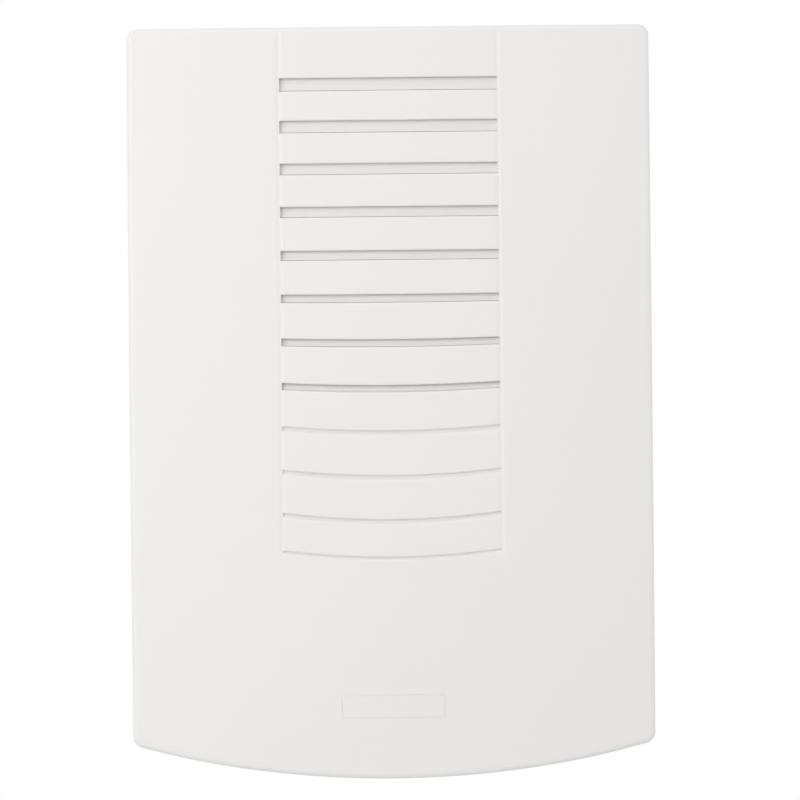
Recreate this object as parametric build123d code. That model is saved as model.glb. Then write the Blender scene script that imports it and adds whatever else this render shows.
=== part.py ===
from build123d import *
import math
import os

# Two-note doorbell chime in a moulded wall box, millimetres and degrees.
# X runs to the right, Y into the wall and Z up. The wall is the plane Y = 0, and the origin
# is the middle of the base's back face.

# Case, seen from the front
case_width = 108.0
case_height = 155.0
case_depth = 44.0
bottom_bow = 7.25
corner_radius = 2.2
foot_corner_radius = 1.7
draft = 0.7
crown_radius_up = 1000.0
crown_radius_across = 970.0
front_edge_radius = 1.0
cover_wall = 2.0
front_wall = 2.4
rim_gap = 0.4

# Slatted strip of the cover
strip_width = 44.5
row_drop = 12.25
row_pitch = 8.81
last_row_pitch = 7.5
slot_rows = 8
groove_rows = 4
slot_height_first = 2.75
slot_height_last = 1.4
slot_depth = 1.4
louvre_lip = 0.9
louvre_rise = 0.8
groove_height = 1.2
groove_depth = 0.7
row_bow = 1.5
row_bow_shares = (0, 0, 0, 0, 0, 0.07, 0.23, 0.43, 0.73, 0.9, 1.03, 1)
edge_groove_offset = 0.15
edge_groove_width = 1.5
edge_groove_floor = 0.5
edge_groove_depth = 0.15

# Bare name field of the cover
field_width = 21.3
field_height = 4.95
field_rise = 15.3
field_line = 0.4
field_depth = 0.2

# Stop ribs inside the cover, which rest on the base's rim
stop_rib_width = 2.4
stop_rib_height = 1.6
stop_rib_length = 7.0
stop_rib_spread = 96.0
stop_rib_gap = 0.1

# Base
fit_gap = 0.3
base_plate = 2.4
base_rim = 1.6
base_rim_height = 8.0
bead_height = 0.22
bead_length = 12.0
bead_drop = 3.0
bead_width = 1.6
rib_thick = 1.4
rib_height = 3.0
rib_spread = 60.0

# Wall fixing: a keyhole at the top and two slots low down
keyhole_drop = 19.5
keyhole_head = 4.2
keyhole_neck = 2.2
keyhole_run = 7.0
slot_spacing = 60.0
slot_rise = 17.5
slot_radius = 2.1
slot_length = 9.0
slot_pad = 2.6
window_width = 16.0
window_height = 12.0
window_rise = 15.5
window_corner = 1.5

# Tone bars and the room left round them
bar_thick = 3.0
bar_side_room = 9.1
bar_top_room = 6.5
bar_foot_room = 9.25
bar_front_room = 6.6
bar_back_room = 6.6
note_ratio = 1.26
node_share = 0.224
bar_corner = 2.0
bar_hole = 3.2

# Grommets, studs and caps of the tone bars
stud_radius = 2.0
stud_reach = 4.2
round_gap = 0.05
grommet_flange = 5.0
grommet_flange_thick = 1.2
cap_radius = 4.2
cap_hub_radius = 3.1
cap_thick = 1.2
cap_hub = 1.2
post_thick = 2.5
post_width = 13.0
post_top_radius = 5.5
gusset_thick = 2.0
gusset_foot = 5.0
gusset_height = 15.0

# Striker
left_gap = 2.0
right_gap = 6.0
core_radius = 3.9
core_overhang = 8.0
core_offset = 2.0
core_chamfer = 0.5
tip_radius = 2.2
tip_nose = 1.6
tip_spigot = 1.7
tip_spigot_length = 6.0
collar_radius = 6.6
collar_thick = 1.6
collar_setback = 4.5

# Coil
coil_end_room = 22.0
bobbin_bore = 4.15
bobbin_tube = 5.2
bobbin_flange = 24.0
bobbin_flange_thick = 2.0
bobbin_corner = 1.5
bobbin_stub = 1.0
winding_radius = 11.0
tape_thick = 0.3
tape_margin = 1.2

# Yoke
yoke_thick = 1.5
yoke_width = 20.0
yoke_bend = 1.2
yoke_reach = 9.0
yoke_web_gap = 1.5
tab_width = 10.0
tab_length = 10.0
tab_hole = 1.7
tab_screw_offset = 15.6
boss_radius = 4.0
pan_head_radius = 2.8
pan_head_thick = 1.9
screw_shank = 1.25
screw_recess = 0.5
screw_recess_depth = 0.9

# Solder tags and leads
tag_thick = 0.8
tag_width = 2.4
tag_length = 9.0
tag_sunk = 4.0
lead_radius = 0.75
lead_sides = 10
lead_drop_share = 0.315
lead_entry_share = 0.222
lead_in = 3.0
lead_sway = 1.0

# Terminal block
block_width = 27.0
block_height = 14.0
block_depth = 13.0
block_rise = 31.5
block_chamfer = 0.8
pole_pitch = 12.0
pole_axis_depth = 9.4
clamp_radius = 3.0
clamp_bore = 1.4
clamp_inset = 1.0
clamp_screw_spacing = 6.0
clamp_screw_radius = 1.15
well_radius = 1.9
well_head = 1.75
well_head_thick = 1.2
block_bore_radius = 3.05
block_screw_well = 3.1
block_screw_well_depth = 6.0
divider_wall = 0.6
divider_height = 2.0

# Return spring
spring_wire = 0.6
spring_wire_sides = 8
spring_radius = 5.85
spring_turns = 6
spring_seat_gap = 0.05

# One overrun for every cut
overrun = 5.0

# Worked out from the sizes above
half_width = case_width / 2
half_height = case_height / 2
bottom_radius = (half_width**2 + bottom_bow**2) / (2 * bottom_bow)
cover_back = -rim_gap
plate_front = -base_plate
rim_front = -base_rim_height
pad_front = plate_front - rib_height
inner_inset = cover_wall + fit_gap
bar_top = half_height - cover_wall - bar_top_room
bar_foot = -half_height + bottom_bow + cover_wall + bar_foot_room
bar_low_length = bar_top - bar_foot
bar_high_length = bar_low_length / math.sqrt(note_ratio)
bar_front = -case_depth + front_wall + bar_front_room
bar_rear = plate_front - bar_back_room
strike_z = (bar_top + bar_foot) / 2
strike_y = (bar_front + bar_rear) / 2
bar_back = half_width - inner_inset - base_rim - bar_side_room
bar_face = bar_back - bar_thick
post_face = bar_back + grommet_flange_thick
coil_length = 2 * (bar_face - coil_end_room)
core_length = coil_length + core_overhang
flange_half = bobbin_flange / 2
leg_inner = coil_length / 2 + round_gap
leg_outer = leg_inner + yoke_thick
web_front = strike_y + flange_half + yoke_web_gap
web_back = web_front + yoke_thick
block_z = block_rise - half_height
slot_z = slot_rise - half_height
window_z = window_rise - half_height
keyhole_z = half_height - keyhole_drop
pilot_floor = plate_front / 2
pole_y = -pole_axis_depth


def block(x, y, z):
    """A box between two values on each axis."""
    size = [abs(pair[1] - pair[0]) for pair in (x, y, z)]
    middle = [(pair[0] + pair[1]) / 2 for pair in (x, y, z)]
    return Pos(*middle) * Box(*size)


def rod_x(radius, x, y, z):
    """A cylinder along X between two values of X."""
    return Pos((x[0] + x[1]) / 2, y, z) * Rot(0, 90, 0) * Cylinder(radius, abs(x[1] - x[0]))


def rod_y(radius, x, y, z):
    """A cylinder along Y between two values of Y."""
    return Pos(x, (y[0] + y[1]) / 2, z) * Rot(90, 0, 0) * Cylinder(radius, abs(y[1] - y[0]))


def rod_z(radius, x, y, z):
    """A cylinder along Z between two values of Z."""
    return Pos(x, y, (z[0] + z[1]) / 2) * Cylinder(radius, abs(z[1] - z[0]))


def facing(y):
    """The plane across the case at y, seen from the room, with local X and Y along X and Z."""
    return Plane(origin=(0, y, 0), x_dir=(1, 0, 0), z_dir=(0, -1, 0))


def case_outline(inset):
    """The case seen from the front, drawn in by inset, with its bowed bottom edge."""
    side = half_width - inset
    top = half_height - inset
    bow_radius = bottom_radius - inset
    bow_centre = bottom_radius - half_height
    lowest = bow_centre - bow_radius
    corner = bow_centre - math.sqrt(bow_radius**2 - side**2)
    edge = Line((side, corner), (side, top))
    edge += Line((side, top), (-side, top))
    edge += Line((-side, top), (-side, corner))
    edge += ThreePointArc((-side, corner), (0, lowest), (side, corner))
    face = make_face(edge)
    for radius, level in ((corner_radius, 1), (foot_corner_radius, -1)):
        corners = [v for v in face.vertices() if v.Y * level > 0]
        face = fillet(corners, max(radius - inset / 2, radius / 2))
    return face


def case_body(y, length, inset):
    """The case's outline carried from y towards the room with the mould's draft."""
    return extrude(facing(y) * case_outline(inset), amount=length, taper=draft)


def crowned(sunk):
    """All that lies behind the crowned front face, or behind a level sunk below it."""
    across = crown_radius_across - sunk
    centre_y = crown_radius_across - case_depth
    edge_y = centre_y - math.sqrt(across**2 - case_width**2)
    arc = ThreePointArc((-case_width, edge_y), (0, centre_y - across), (case_width, edge_y))
    right = (case_width, edge_y)
    left = (-case_width, edge_y)
    back = Polyline(right, (case_width, overrun), (-case_width, overrun), left)
    return swing(make_face(arc + back), -case_height, case_height)


def swing(profile, low, high):
    """A profile drawn at Z = 0 and swung about the crown's axis between two heights."""
    axis_y = crown_radius_up - case_depth
    start = math.degrees(math.asin(low / crown_radius_up))
    end = math.degrees(math.asin(high / crown_radius_up))
    axis = Axis((0, axis_y, 0), (-1, 0, 0))
    return revolve(profile.rotate(axis, start), axis, revolution_arc=end - start)


def row_place(row):
    """Middle height of a row of the strip."""
    steps = min(row, slot_rows + groove_rows - 2)
    down = row_drop + steps * row_pitch
    return half_height - down - (last_row_pitch if row > steps else 0)


def row_band(row, low, high):
    """A band across the strip from low to high above the row's middle, bowed as the row is."""
    middle = row_place(row)
    side = strip_width / 2
    sag = row_bow * row_bow_shares[row]
    if not sag:
        return Pos(0, middle + (low + high) / 2) * Rectangle(strip_width, high - low)
    edge = ThreePointArc((-side, middle + low), (0, middle + low - sag), (side, middle + low))
    edge += Line((side, middle + low), (side, middle + high))
    edge += ThreePointArc((side, middle + high), (0, middle + high - sag), (-side, middle + high))
    edge += Line((-side, middle + high), (-side, middle + low))
    return make_face(edge)


def slot_height(row):
    """Height of a louvre slot, which shrinks evenly from the first to the last."""
    return slot_height_first + (slot_height_last - slot_height_first) * row / (slot_rows - 1)


def strip_cuts():
    """What the strip takes out of the cover: louvres, grooves and the two edge grooves.

    A louvre is a recess from the front and a channel from behind, which meet above the recess's
    floor, behind the lip of the slat over it. Sound gets out and nothing is seen straight on.
    """
    through = facing(-case_depth + front_wall + overrun)
    reach = front_wall + 2 * overrun
    recess_floor = crowned(slot_depth)
    behind_lip = crowned(louvre_lip)
    cuts = []
    for row in range(slot_rows):
        half = slot_height(row) / 2
        cuts.append(extrude(through * row_band(row, -half, half), amount=reach) - recess_floor)
        channel = extrude(through * row_band(row, half, half + louvre_rise), amount=reach)
        cuts.append(channel & behind_lip)
    groove_floor = crowned(groove_depth)
    half = groove_height / 2
    for row in range(slot_rows, slot_rows + groove_rows):
        cuts.append(extrude(through * row_band(row, -half, half), amount=reach) - groove_floor)
    for side in (-1, 1):
        cuts.append(edge_groove(side))
    return cuts


def edge_groove(side):
    """One long groove beside the strip, with sloping sides, from its last row out of the top."""
    middle = side * (strip_width / 2 + edge_groove_offset)
    surface = crown_radius_across - case_depth - math.sqrt(crown_radius_across**2 - middle**2)
    wide = edge_groove_width / 2
    floor = edge_groove_floor / 2
    section = make_face(
        Polyline(
            (middle - wide, surface - overrun),
            (middle + wide, surface - overrun),
            (middle + wide, surface),
            (middle + floor, surface + edge_groove_depth),
            (middle - floor, surface + edge_groove_depth),
            (middle - wide, surface),
            close=True,
        )
    )
    last = row_place(slot_rows + groove_rows - 1)
    return swing(section, last - groove_height / 2, case_height)


def name_field():
    """The line of the bare rectangle near the cover's lower edge."""
    middle = field_rise - half_height
    outer = Pos(0, middle) * Rectangle(field_width, field_height)
    inner = Pos(0, middle) * Rectangle(field_width - 2 * field_line, field_height - 2 * field_line)
    through = facing(-case_depth + front_wall + overrun)
    frame = extrude(through * (outer - inner), amount=front_wall + 2 * overrun)
    return frame - crowned(field_depth)


def stop_ribs():
    """Ribs on the cover's inner walls whose ends rest on the base's rim."""
    back = rim_front - stop_rib_gap
    y = (back - stop_rib_length, back)
    half = stop_rib_width / 2
    side_wall = half_width - cover_wall / 2
    side_in = half_width - inner_inset - stop_rib_height
    top_wall = half_height - cover_wall / 2
    top_in = half_height - inner_inset - stop_rib_height
    ribs = []
    for place in (-stop_rib_spread / 2, stop_rib_spread / 2):
        for side in (-1, 1):
            ribs.append(block((side * side_in, side * side_wall), y, (place - half, place + half)))
    for level in (-1, 1):
        ribs.append(block((-half, half), y, (level * top_in, level * top_wall)))
    return ribs


def front_cover():
    """The moulded cover: a drafted shell with a crowned, slatted front."""
    length = case_depth - rim_gap
    outer = case_body(cover_back, length, 0) & crowned(0)
    front = outer.faces().sort_by(Axis.Y)[0]
    outer = fillet(front.edges(), front_edge_radius)
    hollow = case_body(cover_back + overrun, length + overrun, cover_wall) & crowned(front_wall)
    shell = outer - hollow
    for cut in (*strip_cuts(), name_field()):
        shell -= cut
    for rib in stop_ribs():
        shell += rib
    return shell


def bar_places():
    """Side, middle height and length of the two tone bars."""
    return ((-1, strike_z, bar_low_length), (1, strike_z, bar_high_length))


def stud_places():
    """Side and height of the four studs, at the points where a bar that rings stays still."""
    places = []
    for side, middle, length in bar_places():
        offset = length * (1 / 2 - node_share)
        places += [(side, middle - offset), (side, middle + offset)]
    return places


def bar_post(side, z):
    """A post on the base with a stud that points inwards through a tone bar."""
    x = (side * post_face, side * (post_face + post_thick))
    half = post_width / 2
    leg = block(x, (plate_front, strike_y), (z - half, z + half))
    leg += rod_x(post_top_radius, x, strike_y, z)
    stud_end = side * (bar_face - grommet_flange_thick - stud_reach)
    stud = rod_x(stud_radius, (side * post_face, stud_end), strike_y, z)
    foot = side * (post_face + post_thick + gusset_foot)
    rib = make_face(
        Polyline(
            (side * post_face, plate_front),
            (foot, plate_front),
            (x[1], plate_front - gusset_height),
            (side * post_face, plate_front - gusset_height),
            close=True,
        )
    )
    gusset = Pos(0, 0, z) * extrude(rib, amount=gusset_thick / 2, both=True)
    return leg + stud + gusset


def back_base():
    """The base plate with its rim, posts, bosses, ribs and openings."""
    body = case_body(0, base_rim_height, inner_inset)
    body -= case_body(plate_front, base_rim_height, inner_inset + base_rim)
    body += press_beads()
    for side, z in stud_places():
        body += bar_post(side, z)
    for level in (-1, 1):
        place = strike_z + level * tab_screw_offset
        body += rod_y(boss_radius, 0, (plate_front, web_back), place)
        body -= rod_y(screw_shank, 0, (web_back - overrun, pilot_floor), place)
    for side in (-1, 1):
        body += stiffener(side)
        body += rod_y(slot_length / 2 + slot_pad, side * slot_spacing / 2, (0, pad_front), slot_z)
    for opening in (keyhole(), cable_window(), wall_slot(-1), wall_slot(1)):
        body -= extrude(facing(overrun) * opening, amount=2 * overrun - pad_front)
    return body - rod_y(screw_shank, 0, (overrun, plate_front - overrun), block_z)


def press_beads():
    """Low beads on the rim that grip the cover's walls."""
    y = (rim_front + bead_drop, rim_front + bead_drop + bead_width)
    half = bead_length / 2
    side = half_width - inner_inset
    top = half_height - inner_inset
    windows = block((-half, half), y, (top - base_rim, top + overrun))
    windows += block((-half, half), y, (-top + base_rim, -top - overrun))
    for end in (-1, 1):
        windows += block((end * (side - base_rim), end * (side + overrun)), y, (-half, half))
    return case_body(0, base_rim_height, inner_inset - bead_height) & windows


def stiffener(side):
    """An upright rib on the plate between the coil and the terminal block."""
    x = side * rib_spread / 2
    low = (block_z, strike_z - flange_half)
    return block((x - rib_thick / 2, x + rib_thick / 2), (plate_front / 2, pad_front), low)


def keyhole():
    """The keyhole: the screw's head goes in low and its shank slides up the neck."""
    head = Pos(0, keyhole_z) * Circle(keyhole_head)
    neck_top = Pos(0, keyhole_z + keyhole_run) * Circle(keyhole_neck)
    neck = Pos(0, keyhole_z + keyhole_run / 2) * Rectangle(2 * keyhole_neck, keyhole_run)
    return head + neck_top + neck


def wall_slot(side):
    """A level slot for a wall screw."""
    return Pos(side * slot_spacing / 2, slot_z) * SlotOverall(slot_length, 2 * slot_radius)


def cable_window():
    """The window for the bell wires, below the terminal block."""
    return Pos(0, window_z) * RectangleRounded(window_width, window_height, window_corner)


def tone_bar(side, middle, length):
    """A flat steel bar with two mounting holes at its still points."""
    x = (side * bar_face, side * bar_back)
    half = length / 2
    bar = block(x, (bar_front, bar_rear), (middle - half, middle + half))
    bar = fillet(bar.edges().filter_by(Axis.X), bar_corner)
    through = (side * (bar_face - overrun), side * (bar_back + overrun))
    for _, z in [place for place in stud_places() if place[0] == side]:
        bar -= rod_x(bar_hole, through, strike_y, z)
    return bar


def grommet(side, z):
    """A rubber spool between a bar's hole and its stud."""
    flange = (bar_face - grommet_flange_thick, bar_back + grommet_flange_thick)
    near = (side * flange[0], side * bar_face)
    far = (side * bar_back, side * flange[1])
    spool = rod_x(bar_hole - round_gap, (side * flange[0], side * flange[1]), strike_y, z)
    spool += rod_x(grommet_flange, near, strike_y, z) + rod_x(grommet_flange, far, strike_y, z)
    through = (side * (flange[0] - overrun), side * (flange[1] + overrun))
    return spool - rod_x(stud_radius + round_gap, through, strike_y, z)


def retainer(side, z):
    """A push-on cap on a stud's end, against the grommet."""
    start = bar_face - grommet_flange_thick
    step = start - cap_thick
    end = step - cap_hub
    cap = rod_x(cap_radius, (side * start, side * step), strike_y, z)
    cap += rod_x(cap_hub_radius, (side * step, side * end), strike_y, z)
    through = (side * (start + overrun), side * (end - overrun))
    return cap - rod_x(stud_radius + round_gap, through, strike_y, z)


def coil_bobbin():
    """The spool: a tube with two square flanges and a pocket for a tag in each."""
    half = coil_length / 2
    body = rod_x(bobbin_tube, (-leg_outer - bobbin_stub, leg_outer + bobbin_stub), strike_y, strike_z)
    for side in (-1, 1):
        body += flange_plate(side * (half - bobbin_flange_thick), side * half)
    body -= rod_x(bobbin_bore, (-leg_outer - overrun, leg_outer + overrun), strike_y, strike_z)
    for side in (-1, 1):
        body -= solder_tag(side, round_gap)
    return body


def flange_plate(start, end):
    """A square flange with round corners between two values of X."""
    y = (strike_y - flange_half, strike_y + flange_half)
    plate = block((start, end), y, (strike_z - flange_half, strike_z + flange_half))
    return fillet(plate.edges().filter_by(Axis.X), bobbin_corner)


def solder_tag(side, gap=0):
    """A flat tag in the flange's lower edge, or its pocket where a gap is given."""
    x = side * (coil_length - bobbin_flange_thick) / 2
    top = strike_z - flange_half + tag_sunk + gap
    half_x = tag_thick / 2 + gap
    half_y = tag_width / 2 + gap
    return block((x - half_x, x + half_x), (strike_y - half_y, strike_y + half_y), (top, top - tag_length))


def coil_ring(inner, outer, margin):
    """A ring round the bobbin's tube between its flanges."""
    end = coil_length / 2 - bobbin_flange_thick - margin
    ring = rod_x(outer, (-end, end), strike_y, strike_z)
    return ring - rod_x(inner, (-end - overrun, end + overrun), strike_y, strike_z)


def yoke_frame():
    """A steel strip bent to a U round the coil, with a screw tab above and below."""
    front = strike_y - yoke_reach
    profile = make_face(
        Polyline(
            (-leg_outer, front),
            (-leg_outer, web_back),
            (leg_outer, web_back),
            (leg_outer, front),
            (leg_inner, front),
            (leg_inner, web_front),
            (-leg_inner, web_front),
            (-leg_inner, front),
            close=True,
        )
    )
    outer = [v for v in profile.vertices() if abs(v.Y - web_back) < round_gap]
    profile = fillet(outer, yoke_bend + yoke_thick)
    inner = [v for v in profile.vertices() if abs(v.Y - web_front) < round_gap]
    profile = fillet(inner, yoke_bend)
    strip = Pos(0, 0, strike_z) * extrude(profile, amount=yoke_width / 2, both=True)
    for level in (-1, 1):
        z = (strike_z, strike_z + level * (yoke_width / 2 + tab_length))
        strip += block((-tab_width / 2, tab_width / 2), (web_front, web_back), z)
        place = strike_z + level * tab_screw_offset
        strip -= rod_y(tab_hole, 0, (web_front - overrun, web_back + overrun), place)
    span = (-leg_outer - overrun, leg_outer + overrun)
    return strip - rod_x(bobbin_tube + round_gap, span, strike_y, strike_z)


def pan_screw(x, z, seat, length):
    """A pan-head screw driven into the wall, with its head on the plane Y = seat."""
    screw = rod_y(pan_head_radius, x, (seat - pan_head_thick, seat), z)
    screw = chamfer(screw.edges().sort_by(Axis.Y)[0], pan_head_thick / 3)
    screw += rod_y(screw_shank - round_gap, x, (seat, seat + length), z)
    face = seat - pan_head_thick
    deep = (face - overrun, face + screw_recess_depth)
    half = screw_recess / 2
    arm = pan_head_radius / 2
    screw -= block((x - arm, x + arm), deep, (z - half, z + half))
    return screw - block((x - half, x + half), deep, (z - arm, z + arm))


def core_span():
    """The plunger's two ends at rest."""
    return (-core_length / 2 - core_offset, core_length / 2 - core_offset)


def plunger_core():
    """The soft iron rod with a blind hole for a tip at each end."""
    start, end = core_span()
    core = chamfer(rod_x(core_radius, (start, end), strike_y, strike_z).edges(), core_chamfer)
    hole = tip_spigot + round_gap
    core -= rod_x(hole, (start - overrun, start + tip_spigot_length), strike_y, strike_z)
    return core - rod_x(hole, (end - tip_spigot_length, end + overrun), strike_y, strike_z)


def striker_tip(side):
    """A nylon striking tip whose spigot sits in the plunger's hole."""
    root = core_span()[0] if side < 0 else core_span()[1]
    end = -bar_face + left_gap if side < 0 else bar_face - right_gap
    shank = rod_x(tip_radius, (root, end), strike_y, strike_z)
    nose = shank.edges().sort_by(Axis.X)[0 if side < 0 else -1]
    tip = fillet(nose, tip_nose)
    tip += rod_x(tip_spigot, (root, root - side * tip_spigot_length), strike_y, strike_z)
    if side < 0:
        near = end + collar_setback
        tip += rod_x(collar_radius, (near, near + collar_thick), strike_y, strike_z)
    return tip


def joining_arcs(start, start_way, end, end_way):
    """Two arcs that join two points and leave along the ways given."""
    span = end - start
    ways = start_way + end_way
    spread = 2 * (1 - start_way.dot(end_way))
    along = span.dot(ways)
    reach = (math.sqrt(along**2 + spread * span.dot(span)) - along) / spread
    first = start + start_way * reach
    second = end - end_way * reach
    joint = (first + second) * (1 / 2)
    return [
        Edge.make_tangent_arc(start, start_way, joint),
        Edge.make_tangent_arc(joint, (second - first).normalized(), end),
    ]


def spring_span():
    """Where the spring's wire starts, at the collar, and ends, at the yoke's leg."""
    collar = -bar_face + left_gap + collar_setback + collar_thick
    inset = spring_wire / 2 + spring_seat_gap
    return collar + inset, -leg_outer - inset


def spring_point(quarter):
    """A point of the spring's centre line and the way it runs there."""
    start, end = spring_span()
    steps = 4 * spring_turns
    angle = math.radians(90 * quarter)
    rise = (end - start) / steps
    point = Vector(
        start + rise * quarter,
        strike_y + spring_radius * math.cos(angle),
        strike_z + spring_radius * math.sin(angle),
    )
    arc = spring_radius * math.pi / 2
    way = Vector(rise, -arc * math.sin(angle), arc * math.cos(angle))
    return point, way.normalized()


def return_spring():
    """The compression spring, one wire in joined arcs, with straight ends."""
    steps = 4 * spring_turns
    nodes = [spring_point(quarter) for quarter in range(steps + 1)]
    first, first_way = nodes[0]
    last, last_way = nodes[-1]
    edges = [Edge.make_line(first - first_way * spring_wire, first)]
    for (a, a_way), (b, b_way) in zip(nodes, nodes[1:]):
        edges += joining_arcs(a, a_way, b, b_way)
    edges.append(Edge.make_line(last, last + last_way * spring_wire))
    path = Wire(edges)
    section = Plane(origin=path @ 0, z_dir=path % 0) * RegularPolygon(spring_wire / 2, spring_wire_sides)
    report_gap(nodes)
    return sweep(section, path=path)


def report_gap(nodes):
    """Print the least gap of the spring to itself, between points over half a turn apart."""
    points = [point for point, _ in nodes]
    apart = [(a - b).length for i, a in enumerate(points) for b in points[i + 3 :]]
    print("spring least gap to itself", round(min(apart) - spring_wire, 2), "mm")


def coil_lead(side):
    """An insulated lead from a solder tag down into its terminal."""
    tag_x = side * (coil_length - bobbin_flange_thick) / 2
    tag_end = strike_z - flange_half + tag_sunk - tag_length
    pole_x = side * pole_pitch / 2
    top = block_z + block_height / 2
    leaves = tag_end - lead_drop_share * (tag_end - top)
    enters = top + lead_entry_share * (tag_end - top)
    middle_x = (tag_x + pole_x) / 2 + side * lead_sway
    middle_y = (strike_y + pole_y) / 2 - lead_sway
    points = [
        Vector(tag_x, strike_y, tag_end),
        Vector(tag_x, strike_y, leaves),
        Vector(middle_x, middle_y, (leaves + enters) / 2),
        Vector(pole_x, pole_y, enters),
        Vector(pole_x, pole_y, top - lead_in),
    ]
    radii = []
    for before, here, after in zip(points, points[1:], points[2:]):
        turn = (here - before).get_angle(after - here)
        shorter = min((here - before).length, (after - here).length)
        radii.append(0.45 * shorter / math.tan(math.radians(turn / 2)))
    print("lead radii", [round(radius, 1) for radius in radii], "mm")
    path = FilletPolyline(*points, radius=radii)
    section = Plane(origin=path @ 0, z_dir=path % 0) * RegularPolygon(lead_radius, lead_sides)
    return sweep(section, path=path)


def pole_places():
    """X of the two poles and height of their two screws, for each screw."""
    sides = (-pole_pitch / 2, pole_pitch / 2)
    heights = (block_z - clamp_screw_spacing / 2, block_z + clamp_screw_spacing / 2)
    return [(x, z) for x in sides for z in heights]


def terminal_body():
    """The moulded terminal block with a bore for each clamp and a well for each screw."""
    front = plate_front - block_depth
    z = (block_z - block_height / 2, block_z + block_height / 2)
    body = block((-block_width / 2, block_width / 2), (front, plate_front), z)
    body = chamfer(body.faces().sort_by(Axis.Y)[0].edges(), block_chamfer)
    half = block_screw_well + divider_wall
    body += block((-half, half), (front - divider_height, front + block_chamfer), z)
    for x in (-pole_pitch / 2, pole_pitch / 2):
        body -= rod_z(block_bore_radius, x, pole_y, (z[0] - overrun, z[1] + overrun))
    for x, place in pole_places():
        body -= rod_y(well_radius, x, (front - overrun, pole_y), place)
    well_floor = front + block_screw_well_depth
    body -= rod_y(block_screw_well, 0, (front - overrun, well_floor), block_z)
    return body - rod_y(screw_shank, 0, (front, plate_front + overrun), block_z)


def terminal_clamp(x):
    """A brass tube with two screw holes in its front."""
    half = block_height / 2 - clamp_inset
    tube = rod_z(clamp_radius, x, pole_y, (block_z - half, block_z + half))
    tube -= rod_z(clamp_bore, x, pole_y, (block_z - half - overrun, block_z + half + overrun))
    for _, place in [pair for pair in pole_places() if pair[0] == x]:
        tube -= rod_y(clamp_screw_radius + round_gap, x, (pole_y - overrun, pole_y), place)
    return tube


def terminal_screw(x, z):
    """A slotted clamp screw that stops on the lead."""
    tip = pole_y - lead_radius - round_gap
    head = pole_y - clamp_radius - well_head_thick
    screw = rod_y(clamp_screw_radius, x, (head, tip), z)
    screw += rod_y(well_head, x, (head - well_head_thick, head), z)
    face = head - well_head_thick
    half = screw_recess / 2
    cut = block((x - half, x + half), (face - overrun, face + screw_recess), (z - overrun, z + overrun))
    return screw - cut


def terminal_block_screw():
    """The pan-head screw that holds the terminal block to the plate."""
    seat = plate_front - block_depth + block_screw_well_depth
    return pan_screw(0, block_z, seat, block_depth - block_screw_well_depth + base_plate / 2)


def group(shapes):
    """Several equal solids as one piece of the list."""
    return Compound([solid for shape in shapes for solid in shape.solids()])


def all_parts():
    """Every piece by name."""
    low, high = bar_places()
    levels = [strike_z + level * tab_screw_offset for level in (-1, 1)]
    yoke_screw_length = pilot_floor - round_gap - web_front
    return {
        "front_cover": front_cover(),
        "back_base": back_base(),
        "tone_bar_low": tone_bar(*low),
        "tone_bar_high": tone_bar(*high),
        "bar_grommets_left": group(grommet(*place) for place in stud_places() if place[0] < 0),
        "bar_grommets_right": group(grommet(*place) for place in stud_places() if place[0] > 0),
        "bar_retainers": group(retainer(*place) for place in stud_places()),
        "coil_bobbin": coil_bobbin(),
        "coil_winding": coil_ring(bobbin_tube + round_gap, winding_radius, round_gap),
        "coil_tape": coil_ring(winding_radius + round_gap, winding_radius + tape_thick, tape_margin),
        "coil_tags": group(solder_tag(side) for side in (-1, 1)),
        "yoke_frame": yoke_frame(),
        "yoke_screws": group(pan_screw(0, z, web_front, yoke_screw_length) for z in levels),
        "plunger_core": plunger_core(),
        "striker_tip_left": striker_tip(-1),
        "striker_tip_right": striker_tip(1),
        "return_spring": return_spring(),
        "terminal_body": terminal_body(),
        "terminal_clamps": group(terminal_clamp(x) for x in (-pole_pitch / 2, pole_pitch / 2)),
        "terminal_screws": group(terminal_screw(*place) for place in pole_places()),
        "terminal_block_screw": terminal_block_screw(),
        "coil_lead_left": coil_lead(-1),
        "coil_lead_right": coil_lead(1),
    }


os.makedirs("parts", exist_ok=True)
for name, shape in all_parts().items():
    export_step(shape, f"parts/{name}.step")
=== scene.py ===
import math

import bmesh
import bpy
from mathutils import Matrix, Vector


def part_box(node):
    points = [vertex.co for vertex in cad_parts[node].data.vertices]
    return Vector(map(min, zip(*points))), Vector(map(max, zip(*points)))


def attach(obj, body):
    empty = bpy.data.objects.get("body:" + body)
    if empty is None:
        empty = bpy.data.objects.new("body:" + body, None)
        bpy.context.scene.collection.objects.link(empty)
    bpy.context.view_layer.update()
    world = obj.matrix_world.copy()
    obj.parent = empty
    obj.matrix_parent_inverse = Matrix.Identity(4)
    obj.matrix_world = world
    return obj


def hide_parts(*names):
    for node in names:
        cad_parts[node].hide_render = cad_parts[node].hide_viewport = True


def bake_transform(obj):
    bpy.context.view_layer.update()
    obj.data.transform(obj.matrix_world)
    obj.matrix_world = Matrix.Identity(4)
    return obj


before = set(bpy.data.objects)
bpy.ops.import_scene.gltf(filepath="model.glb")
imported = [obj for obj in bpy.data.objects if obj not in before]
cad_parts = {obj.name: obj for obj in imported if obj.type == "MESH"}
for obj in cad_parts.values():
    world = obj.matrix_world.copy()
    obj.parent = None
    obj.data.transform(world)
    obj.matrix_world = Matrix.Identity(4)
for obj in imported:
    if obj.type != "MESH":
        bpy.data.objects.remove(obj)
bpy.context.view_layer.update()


# Base. One moulding in off-white ABS: a plate with a rim, four posts for the tone bars, two
# bosses for the yoke and ribs. It is screwed to the wall through a keyhole and two slots, and
# low beads on its rim grip the cover.
mm = 0.001
base_white = (0.80, 0.795, 0.775, 1)
base_shade = (0.76, 0.755, 0.73, 1)


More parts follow.
